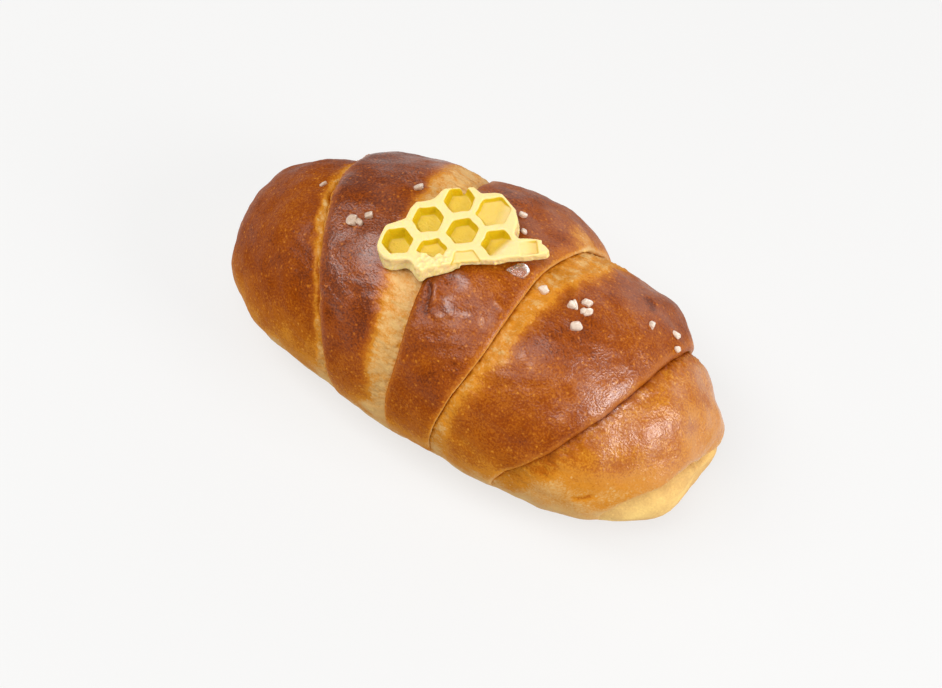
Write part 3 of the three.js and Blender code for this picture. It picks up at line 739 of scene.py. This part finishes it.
def chocolate_mesh():
    """The plate as a height over a fine grid cut to its outline, with a rounded rim, sides and an underside.

    Beside its points and faces it gives how far each point lies below the rims and how steep the face is.
    """
    line = rounded_outline(PLATE_OUTLINE)
    line = line + np.stack([ripple(line, "outline_u"), ripple(line, "outline_v")], axis=1)
    ticks = [np.arange(*ends, PLATE_STEP) for ends in (PLATE_U, PLATE_V)]
    grid = np.stack(np.meshgrid(*ticks, indexing="ij"), axis=-1)
    spots = grid.reshape(-1, 2)
    place, depth_in = nearest_on_outline(spots, line)
    centres = (grid[:-1, :-1] + PLATE_STEP / 2).reshape(-1, 2)
    _, centre_in = nearest_on_outline(centres, line)
    rows, columns = grid.shape[:2]
    index = np.arange(rows * columns).reshape(rows, columns)
    corners = np.stack([index[:-1, :-1], index[1:, :-1], index[1:, 1:], index[:-1, 1:]], axis=-1)
    kept = corners.reshape(-1, 4)[centre_in > 0]
    edges = np.stack([kept, np.roll(kept, -1, axis=1)], axis=-1).reshape(-1, 2)
    key = np.sort(edges, axis=1) @ np.array([rows * columns, 1])
    _, first, count = np.unique(key, return_index=True, return_counts=True)
    rim_edges = edges[first[count == 1]]
    used = np.unique(kept)
    rim = np.unique(rim_edges)
    on_rim = np.zeros(rows * columns, bool)
    on_rim[rim] = True
    spots = np.where(on_rim[:, None], place, spots)
    inward = np.where(on_rim, 0, np.maximum(depth_in, 0))
    fillet = RIM_FILLET - np.sqrt(RIM_FILLET**2 - (RIM_FILLET - np.minimum(inward, RIM_FILLET)) ** 2)
    top = plate_top(spots) - fillet
    shelf = smooth(*SHELF_AT[0], spots[:, 0]) * smooth(*SHELF_AT[1], spots[:, 1])
    deepest = -PLATE_THICKNESS + (PLATE_THICKNESS - SHELF_THICKNESS) * shelf
    bottom = np.clip(height_above_crust(spots), deepest, top - THINNEST)
    outward = spots[rim] - spots[rim].mean(axis=0)
    outward /= np.linalg.norm(outward, axis=1, keepdims=True)
    u, v = spots[rim].T
    notch = NOTCH_DEPTH * smooth(*NOTCH_AT[0], u) * smooth(*NOTCH_AT[1], u) * (v < 0)
    flare = SIDE_FLARE * smooth(*FLARE_AT[0], u) * smooth(*FLARE_AT[1], v)
    share = np.arange(1, SIDE_RINGS)[:, None] / SIDE_RINGS
    down = top[rim] + share * (bottom[rim] - top[rim])
    side = np.stack([*np.broadcast_arrays(u, v, down)], axis=-1)
    ragged = ripple(side, "side_break") + ripple(side, "side_swell") - notch
    side[..., :2] += outward * (ragged * np.sin(np.pi * share) + flare * share)[..., None]
    above, below = (np.column_stack([spots, height])[used] for height in (top, bottom))
    points = np.concatenate([above, side.reshape(-1, 3), below])

    under = len(points) - len(used)
    first_ring = np.searchsorted(used, rim)
    between = len(used) + np.arange(down.size).reshape(down.shape)
    rings = [first_ring, *between, first_ring + under]
    upper_faces = np.searchsorted(used, kept)
    faces = [upper_faces, upper_faces[:, ::-1] + under]
    a, b = np.searchsorted(rim, rim_edges).T
    faces += [np.stack([high[b], high[a], low[a], low[b]], axis=-1) for high, low in zip(rings, rings[1:])]
    along, across, normal = plate_axes()
    placed = PLATE_MIDDLE + points[:, :1] * along + points[:, 1:2] * across + points[:, 2:] * normal
    slope = [plate_top(spots[used] + step) - plate_top(spots[used] - step) for step in PLATE_STEP * np.eye(2)]
    sunken = np.concatenate([-top[used], np.zeros(len(points) - len(used))])
    steep = np.concatenate([np.hypot(*slope) / (2 * PLATE_STEP), np.full(down.size, SIDE_STEEP),
                            np.zeros(len(used))])
    return placed, np.concatenate(faces).tolist(), dict(sunken=sunken, steep=steep)


# ---- salt and syrup ----
def ball_grid(rows, columns):
    """Directions over a ball, from pole to pole: (sin d cos t, sin d sin t, cos d)."""
    down = np.linspace(0, np.pi, columns)
    turn = np.linspace(0, 2 * np.pi, rows, endpoint=False)
    turn, down = np.meshgrid(turn, down, indexing="ij")
    return np.stack([np.sin(down) * np.cos(turn), np.sin(down) * np.sin(turn), np.cos(down)], axis=-1)


def crystal_shape(random, size):
    """A rounded crystal: directions scaled so that a p-norm of their reach along random facets is one."""
    ways = ball_grid(22, 16)
    facets = random.normal(size=(8, 3))
    facets = np.concatenate([facets / np.linalg.norm(facets, axis=1, keepdims=True), np.eye(3), -np.eye(3)])
    reach = random.uniform(0.7, 1.05, len(facets))
    reach[-6:] = 0.96
    norm = ((np.maximum(ways @ facets.T, 0) / reach) ** FACET_POWER).sum(axis=-1) ** (1 / FACET_POWER)
    pitted = 1 + 0.04 * waves(ways, 0.9, random.integers(1000))
    return ways * (pitted / norm)[..., None] * 0.5 * np.asarray(size)


def upright(normal, turn):
    """Axes whose third is the normal, turned about it."""
    side = np.cross(normal, [0.0, 1.0, 0.0])
    side /= np.linalg.norm(side)
    other = np.cross(normal, side)
    return np.stack([math.cos(turn) * side + math.sin(turn) * other,
                     -math.sin(turn) * side + math.cos(turn) * other, normal])


def joined(parts):
    """Point arrays and face lists put into one."""
    points, faces, start = [], [], 0
    for some_points, some_faces in parts:
        points.append(some_points)
        faces += [tuple(i + start for i in face) for face in some_faces]
        start += len(some_points)
    return np.concatenate(points), faces


# ---- meshes ----
def new_object(name, points, faces, material, attributes=None):
    """A smooth-shaded mesh object in metres from points in mm, with one float attribute per entry."""
    mesh = bpy.data.meshes.new(name)
    mesh.from_pydata((np.asarray(points) * MM).tolist(), [], faces)
    mesh.update()
    mesh.polygons.foreach_set("use_smooth", np.ones(len(mesh.polygons), bool))
    for key, values in (attributes or {}).items():
        layer = mesh.attributes.new(key, "FLOAT", "POINT")
        layer.data.foreach_set("value", np.asarray(values, np.float32).ravel())
    mesh.materials.append(material)
    piece = bpy.data.objects.new(name, mesh)
    bpy.context.scene.collection.objects.link(piece)
    return piece


def closed_grid(rows, columns):
    """Faces of a grid that closes round its rows, its first and last columns drawn together to poles."""
    inner = columns - 2
    first = 2 + inner * np.arange(rows)
    after = np.roll(first, -1)
    here, there = (start[:, None] + np.arange(inner - 1) for start in (first, after))
    quads = np.stack([here, there, there + 1, here + 1], axis=-1).reshape(-1, 4)
    ends = [np.stack([np.zeros(rows, int), after, first], axis=-1),
            np.stack([np.ones(rows, int), first + inner - 1, after + inner - 1], axis=-1)]
    return quads.tolist() + np.concatenate(ends).tolist()


def with_poles(grid):
    """Grid values as a flat list: the two poles, then the inner columns row by row."""
    poles = np.stack([grid[0, 0], grid[0, -1]])
    inner = grid[:, 1:-1].reshape(-1, *grid.shape[2:])
    return np.concatenate([poles, inner])


# ---- materials; the strengths change the crust's tone or the height of its bumps ----
MOTTLE = 0.14
GRAIN_TONE = 0.9
DOTS_PALER = 0.28
FOLD_WIDTH = 0.11
# Darkening in the band wrinkles' furrows: a painted shade.
FURROW_PAINTED_SHADE = 0.6
FURROW_DEPTH = 3.2


class Nodes:
    """Short calls for building a material's node tree."""

    def __init__(self, name):
        self.material = bpy.data.materials.new(name)
        self.material.use_nodes = True
        self.tree = self.material.node_tree
        self.tree.nodes.clear()
        self.shader = self.tree.nodes.new("ShaderNodeBsdfPrincipled")
        self.output = self.tree.nodes.new("ShaderNodeOutputMaterial")
        self.link(self.shader.outputs["BSDF"], self.output.inputs["Surface"])
        self.place = self.tree.nodes.new("ShaderNodeTexCoord").outputs["Object"]

    def link(self, source, target):
        self.tree.links.new(source, target)

    def put(self, value, socket):
        if isinstance(value, bpy.types.NodeSocket):
            self.link(value, socket)
        else:
            socket.default_value = value

    def fill(self, node, values):
        """Puts values or links into a node's sockets; underscores in a name stand for spaces."""
        for name, value in values.items():
            self.put(value, node.inputs[name.replace("_", " ")])

    def new(self, kind, **values):
        node = self.tree.nodes.new("ShaderNode" + kind)
        self.fill(node, values)
        return node

    def set(self, **values):
        self.fill(self.shader, values)

    def math(self, operation, a, b=0.0, clamp=False):
        node = self.new("Math")
        node.operation = operation
        node.use_clamp = clamp
        self.put(a, node.inputs[0])
        self.put(b, node.inputs[1])
        return node.outputs[0]

    def plus(self, a, b):
        return self.math("ADD", a, b)

    def times(self, a, b):
        return self.math("MULTIPLY", a, b)

    def attribute(self, name):
        node = self.new("Attribute")
        node.attribute_name = name
        return node.outputs["Fac"]

    def noise(self, size_mm, detail=3.0, roughness=0.55, stretch=(1.0, 1.0, 1.0)):
        """Noise about 0, of the given grain in mm."""
        mapping = self.new("Mapping", Vector=self.place, Scale=[1 / (size_mm * MM) * s for s in stretch])
        place = mapping.outputs["Vector"]
        node = self.new("TexNoise", Vector=place, Scale=1.0, Detail=detail, Roughness=roughness)
        return self.math("SUBTRACT", node.outputs["Fac"], 0.5)

    def cells(self, size_mm):
        return self.new("TexVoronoi", Vector=self.place, Scale=1 / (size_mm * MM)).outputs

    def step(self, value, low, high):
        node = self.new("MapRange", Value=value, From_Min=low, From_Max=high)
        node.interpolation_type = "SMOOTHSTEP"
        return node.outputs["Result"]

    def ramp(self, value, stops):
        node = self.new("ValToRGB", Fac=value)
        node.color_ramp.interpolation = "EASE"
        while len(node.color_ramp.elements) < len(stops):
            node.color_ramp.elements.new(0.5)
        for element, (position, colour) in zip(node.color_ramp.elements, stops):
            element.position = position
            element.color = (*colour, 1.0)
        return node.outputs["Color"]

    def mix(self, share, a, b):
        node = self.new("Mix")
        node.data_type = "RGBA"
        self.fill(node, dict(Factor=share, A=a, B=b))
        return node.outputs["Result"]

    def bump(self, height, distance_mm):
        return self.new("Bump", Distance=distance_mm * MM, Height=height).outputs["Normal"]


def linear(red, green, blue):
    """A colour given in the 0 to 255 values of a screen, as linear light."""
    channel = np.array([red, green, blue]) / 255
    return tuple(np.where(channel <= 0.04045, channel / 12.92, ((channel + 0.055) / 1.055) ** 2.4).tolist())


def crust_material(settings):
    """Egg-washed crust: colour by the bake and the painted light laid into it, fine paler flecks and pores,
    painted shade in the band wrinkles' furrows, a satin glaze over a fine grain.
    """
    n = Nodes("glazed crust")
    bake = n.attribute("bake")
    fold = n.math("ABSOLUTE", n.noise(1.9, 2.0, 0.5, stretch=(0.5, 1.0, 1.0)))
    mottle = n.times(n.noise(4.0, 3.0), MOTTLE)
    grain = n.times(n.noise(0.5, 2.0, 0.7), n.times(bake, GRAIN_TONE))
    spots = n.cells(1.5)
    dots = n.times(n.step(spots["Distance"], 0.3, 0.12), n.step(spots["Color"], 0.35, 0.5))
    furrow = n.times(n.attribute("wrinkled"), n.math("SUBTRACT", FOLD_WIDTH, fold))
    tone = n.plus(n.plus(bake, n.times(mottle, n.step(bake, 0.0, 0.3))), grain)
    # Painted shade darkens the furrows of the band wrinkles.
    tone = n.plus(tone, n.times(furrow, FURROW_PAINTED_SHADE))
    tone = n.math("SUBTRACT", tone, n.times(dots, n.times(bake, DOTS_PALER)), clamp=True)
    stops = [(0.0, settings.pale), (0.2, settings.cream), (0.4, settings.golden), (0.6, settings.amber),
             (0.8, settings.brown), (1.0, settings.dark)]
    height = n.plus(n.noise(0.5, 2.0), n.times(n.noise(1.7, 2.0), 0.9))
    bumped = n.bump(n.math("SUBTRACT", height, n.times(furrow, FURROW_DEPTH)), settings.grain)
    n.set(Base_Color=n.ramp(tone, stops), Roughness=n.plus(0.5, n.times(n.noise(1.2, 3.0), 0.25)),
          Specular_IOR_Level=0.02, Coat_Roughness=0.27, Coat_IOR=1.8, Normal=bumped, Coat_Normal=bumped,
          Coat_Weight=n.math("MULTIPLY", n.attribute("gloss"), settings.glaze, clamp=True))
    return n.material


def chocolate_material(settings):
    """Tinted white chocolate: waxy, a little see-through, with painted light: pale on the rims, deeper yellow
    on the pocket floors and steep walls as painted shade.
    """
    n = Nodes("yellow chocolate")
    # Painted light: the rims take a pale lit colour, the sunken floors and steep walls darker shaded colours
    # of the same chocolate.
    sunken = n.step(n.attribute("sunken"), 0.15, 2.2)
    painted_shade = n.math("ADD", sunken, n.times(n.noise(5.0, 2.0), 0.15), clamp=True)
    level = n.mix(painted_shade, (*settings.rim, 1), (*settings.floor, 1))
    height = n.plus(n.noise(1.8, 2.0), n.times(n.noise(0.5, 2.0), 0.5))
    n.set(Base_Color=n.mix(n.step(n.attribute("steep"), 0.6, 2.0), level, (*settings.wall, 1)),
          Roughness=n.plus(0.42, n.times(n.noise(1.0, 2.0), 0.2)), Specular_IOR_Level=0.35,
          Subsurface_Weight=0.5, Subsurface_Radius=(1.0, 0.75, 0.2), Subsurface_Scale=1.2 * MM,
          Normal=n.bump(height, 0.22))
    return n.material


def salt_material(settings):
    """Cloudy salt: white, letting some of the crust's brown through."""
    n = Nodes("salt")
    cloudy = n.math("SUBTRACT", n.plus(n.noise(0.9, 2.0), 0.9), n.attribute("clearness"), clamp=True)
    n.set(Base_Color=n.mix(cloudy, (*settings.clear, 1), (*settings.cloudy, 1)), Roughness=0.3, IOR=1.5,
          Transmission_Weight=0.25, Normal=n.bump(n.noise(0.35, 2.0), 0.12))
    return n.material


def syrup_material():
    """Clear, slightly warm syrup with a soft shine."""
    n = Nodes("syrup")
    n.set(Base_Color=(1.0, 0.93, 0.85, 1), Roughness=0.12, IOR=1.42, Transmission_Weight=0.88)
    return n.material


# ---- settings ----
def colour_property(name, description, rgb):
    return FloatVectorProperty(name=name, description=description, default=linear(*rgb), size=3,
                               subtype="COLOR", min=0.0, max=1.0)


def number(name, description, default, **options):
    return FloatProperty(name=name, description=description, default=default, **options)


def softbox_power(side, watts):
    return number(side.title(), f"Power of the {side} softbox in watts", watts)


class CrustSettings(bpy.types.PropertyGroup):
    pale: colour_property("Pale dough", "Dough that hardly browned", (253, 216, 132))
    cream: colour_property("Cream", "Stretched bands between wraps", (212, 168, 104))
    golden: colour_property("Golden", "Edges of the bands and lower sides", (200, 128, 34))
    amber: colour_property("Amber", "Sides of the wraps", (168, 90, 14))
    brown: colour_property("Brown", "Top of the wraps", (138, 62, 3))
    dark: colour_property("Dark", "Darkest crust", (98, 38, 1))
    glaze: number("Glaze", "Weight of the egg wash", 0.85, min=0, max=1)
    grain: number("Grain", "Height of the fine grain, in mm", 0.16, min=0)


class ChocolateSettings(bpy.types.PropertyGroup):
    # The rim colour is a painted lit copy, the floor and wall colours painted shaded copies of the one
    # chocolate.
    rim: colour_property("Rim", "Rims and upper face", (243, 216, 152))
    floor: colour_property("Floor", "Floors of the pockets", (222, 188, 68))
    wall: colour_property("Wall", "Walls of the pockets", (212, 178, 12))


class SaltSettings(bpy.types.PropertyGroup):
    clear: colour_property("Clear", "Clearer parts of a crystal", (208, 176, 146))
    cloudy: colour_property("Cloudy", "Cloudy parts of a crystal", (240, 220, 200))
    syrup_width: number("Drop width", "Width of the drop of syrup", 0.0050, unit="LENGTH")


class StageSettings(bpy.types.PropertyGroup):
    azimuth: number("Azimuth", "Camera's angle from the front", math.radians(35.36), subtype="ANGLE")
    elevation: number("Elevation", "Camera's angle above the floor", math.radians(56), subtype="ANGLE")
    distance: number("Distance", "Camera's distance", 0.49624, unit="LENGTH")
    target: FloatVectorProperty(name="Target", description="Point that the camera looks at",
                                default=(0.00413, -0.00627, 0.02), size=3, subtype="TRANSLATION")
    lens: number("Lens", "Focal length in mm", 80.0)
    overhead: softbox_power("overhead", 7.0)
    right: softbox_power("right", 4.2)
    left: softbox_power("left", 1.6)
    rear: softbox_power("rear", 3.4)
    ambient: number("Ambient", "Strength of the light from all round", 0.25)
    floor: colour_property("Floor", "Colour of the floor", (118, 118, 118))
    glow: number("Glow", "Strength of the floor's own light", 0.7)


# ---- operators ----
@functools.cache
def built_crust():
    """The crust's grid, worked out once and shared by the operators."""
    return Crust()


class ROLL_OT_crust(bpy.types.Operator):
    """Make the crust from its seams, swell and relief"""

    bl_idname = "roll.crust"
    bl_label = "Crust"

    def execute(self, context):
        crust = built_crust()
        attributes = {key: with_poles(getattr(crust, key)) for key in ("bake", "gloss", "wrinkled")}
        piece = new_object("crust", with_poles(crust.points), closed_grid(*crust.arc.shape),
                           crust_material(context.scene.roll_crust), attributes)
        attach(piece, "root")
        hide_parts("bread")
        return {"FINISHED"}


class ROLL_OT_chocolate(bpy.types.Operator):
    """Make the honeycomb chocolate"""

    bl_idname = "roll.chocolate"
    bl_label = "Honeycomb chocolate"

    def execute(self, context):
        points, faces, attributes = chocolate_mesh()
        material = chocolate_material(context.scene.roll_chocolate)
        piece = new_object("honeycomb", points, faces, material, attributes)
        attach(piece, "root")
        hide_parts("honeycomb_chocolate")
        return {"FINISHED"}


class ROLL_OT_salt(bpy.types.Operator):
    """Scatter the salt crystals on the crust"""

    bl_idname = "roll.salt"
    bl_label = "Salt"

    def execute(self, context):
        crust = built_crust()
        random = np.random.default_rng(17)
        parts, clearness = [], []
        for arc, angle, length, width, turn in CRYSTALS:
            height = CRYSTAL_HEIGHT * width
            grid = crystal_shape(random, (length, width, height))
            seat, normal = crust.spot(arc, angle)
            grid = seat + normal * height * (0.5 - CRYSTAL_SUNK) + grid @ upright(normal, math.radians(turn))
            parts.append((with_poles(grid), closed_grid(*grid.shape[:2])))
            clearness.append(np.full(len(parts[-1][0]), CLEARNESS_LEFT if arc < CLEAR_BEFORE else CLEARNESS))
        points, faces = joined(parts)
        piece = new_object("salt", points, faces, salt_material(context.scene.roll_salt),
                           dict(clearness=np.concatenate(clearness)))
        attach(piece, "root")
        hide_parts("bread")
        return {"FINISHED"}


class ROLL_OT_syrup(bpy.types.Operator):
    """Put the drop of syrup beside the chocolate"""

    bl_idname = "roll.syrup"
    bl_label = "Syrup"

    def execute(self, context):
        seat, normal = built_crust().spot(*DROP_PLACE)
        wide = context.scene.roll_salt.syrup_width / MM
        ways = ball_grid(48, 26)
        fan = 0.35 + 0.65 * smooth(-1.0, 0.5, ways[..., 0]) + ripple(ways, "drop_edge")
        grid = wide * DROP_SHAPE * ways * np.stack([fan**0, fan, fan], axis=-1)
        grid = seat + normal * DROP_LIFT * wide + grid @ upright(normal, math.radians(DROP_TURN))
        piece = new_object("syrup_drop", with_poles(grid), closed_grid(*grid.shape[:2]), syrup_material())
        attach(piece, "root")
        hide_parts("bread")
        return {"FINISHED"}


class ROLL_OT_stage(bpy.types.Operator):
    """Set the pale floor, the soft light and the camera"""

    bl_idname = "roll.stage"
    bl_label = "Stage"

    def execute(self, context):
        settings = context.scene.roll_stage
        make_floor(settings)
        make_lights(settings)
        make_camera(settings)
        context.scene.view_settings.view_transform = "Standard"
        context.scene.view_settings.look = "None"
        return {"FINISHED"}


def make_floor(settings):
    """A pale floor that glows a little, so that shadows on it stay light."""
    half = 1.5 / MM
    corners = np.array([[-half, -half, 0], [half, -half, 0], [half, half, 0], [-half, half, 0]])
    n = Nodes("pale floor")
    n.set(Base_Color=(*settings.floor, 1), Roughness=0.7, Specular_IOR_Level=0.0,
          Emission_Color=(1, 0.995, 0.985, 1), Emission_Strength=settings.glow)
    floor = new_object("floor", corners, [(0, 1, 2, 3)], n.material)


# Softboxes: name, place and size in metres, turn from facing down in degrees.
SOFTBOXES = [
    ("overhead", (-0.12, -0.36, 0.9), (0.9, 0.62), (0, 0, 0)),
    ("right", (0.7, 0.02, 0.38), (0.4, 0.32), (0, 63, 0)),
    ("left", (-0.5, -0.13, 0.62), (0.3, 0.3), (9, -41, 0)),
    ("rear", (0.15, 1.0, 0.28), (1.4, 0.4), (-76, 0, 0)),
]


def make_lights(settings):
    """A dim white room, a wide softbox overhead, a smaller one towards each end and a low one behind."""
    world = bpy.data.worlds.new("soft white")
    world.use_nodes = True
    background = world.node_tree.nodes["Background"]
    background.inputs["Color"].default_value = (1, 1, 1, 1)
    background.inputs["Strength"].default_value = settings.ambient
    bpy.context.scene.world = world
    for name, place, size, turn in SOFTBOXES:
        light = bpy.data.lights.new(name + " softbox", "AREA")
        light.shape = "RECTANGLE"
        light.size, light.size_y = size
        light.energy = getattr(settings, name)
        lamp = bpy.data.objects.new(light.name, light)
        lamp.location = place
        lamp.rotation_euler = np.radians(turn)
        bpy.context.scene.collection.objects.link(lamp)


def make_camera(settings):
    azimuth, elevation = settings.azimuth, settings.elevation
    back = np.array([math.sin(azimuth) * math.cos(elevation), -math.cos(azimuth) * math.cos(elevation),
                     math.sin(elevation)])
    camera = bpy.data.cameras.new("camera")
    camera.lens = settings.lens
    camera.sensor_width = 36
    camera.clip_start = 0.01
    holder = bpy.data.objects.new("camera", camera)
    holder.location = np.array(settings.target) + back * settings.distance
    holder.rotation_euler = (math.pi / 2 - elevation, 0, azimuth)
    bpy.context.scene.collection.objects.link(holder)
    bpy.context.scene.camera = holder


class ROLL_PT_panel(bpy.types.Panel):
    """Buttons for each group of pieces"""

    bl_idname = "ROLL_PT_panel"
    bl_label = "Salt Bread Roll"
    bl_space_type = "VIEW_3D"
    bl_region_type = "UI"
    bl_category = "Roll"

    def draw(self, context):
        for operator in OPERATORS:
            self.layout.operator(operator.bl_idname)


SETTINGS = {"roll_crust": CrustSettings, "roll_chocolate": ChocolateSettings, "roll_salt": SaltSettings,
            "roll_stage": StageSettings}
OPERATORS = (ROLL_OT_crust, ROLL_OT_chocolate, ROLL_OT_salt, ROLL_OT_syrup, ROLL_OT_stage)


def register():
    for item in (*SETTINGS.values(), *OPERATORS, ROLL_PT_panel):
        bpy.utils.register_class(item)
    for name, group in SETTINGS.items():
        setattr(bpy.types.Scene, name, PointerProperty(type=group))


def unregister():
    for name in SETTINGS:
        delattr(bpy.types.Scene, name)
    for item in reversed((*SETTINGS.values(), *OPERATORS, ROLL_PT_panel)):
        bpy.utils.unregister_class(item)


def main():
    register()
    bpy.ops.roll.crust()
    bpy.ops.roll.chocolate()
    bpy.ops.roll.salt()
    bpy.ops.roll.syrup()
    bpy.ops.roll.stage()


if __name__ == "__main__":
    main()
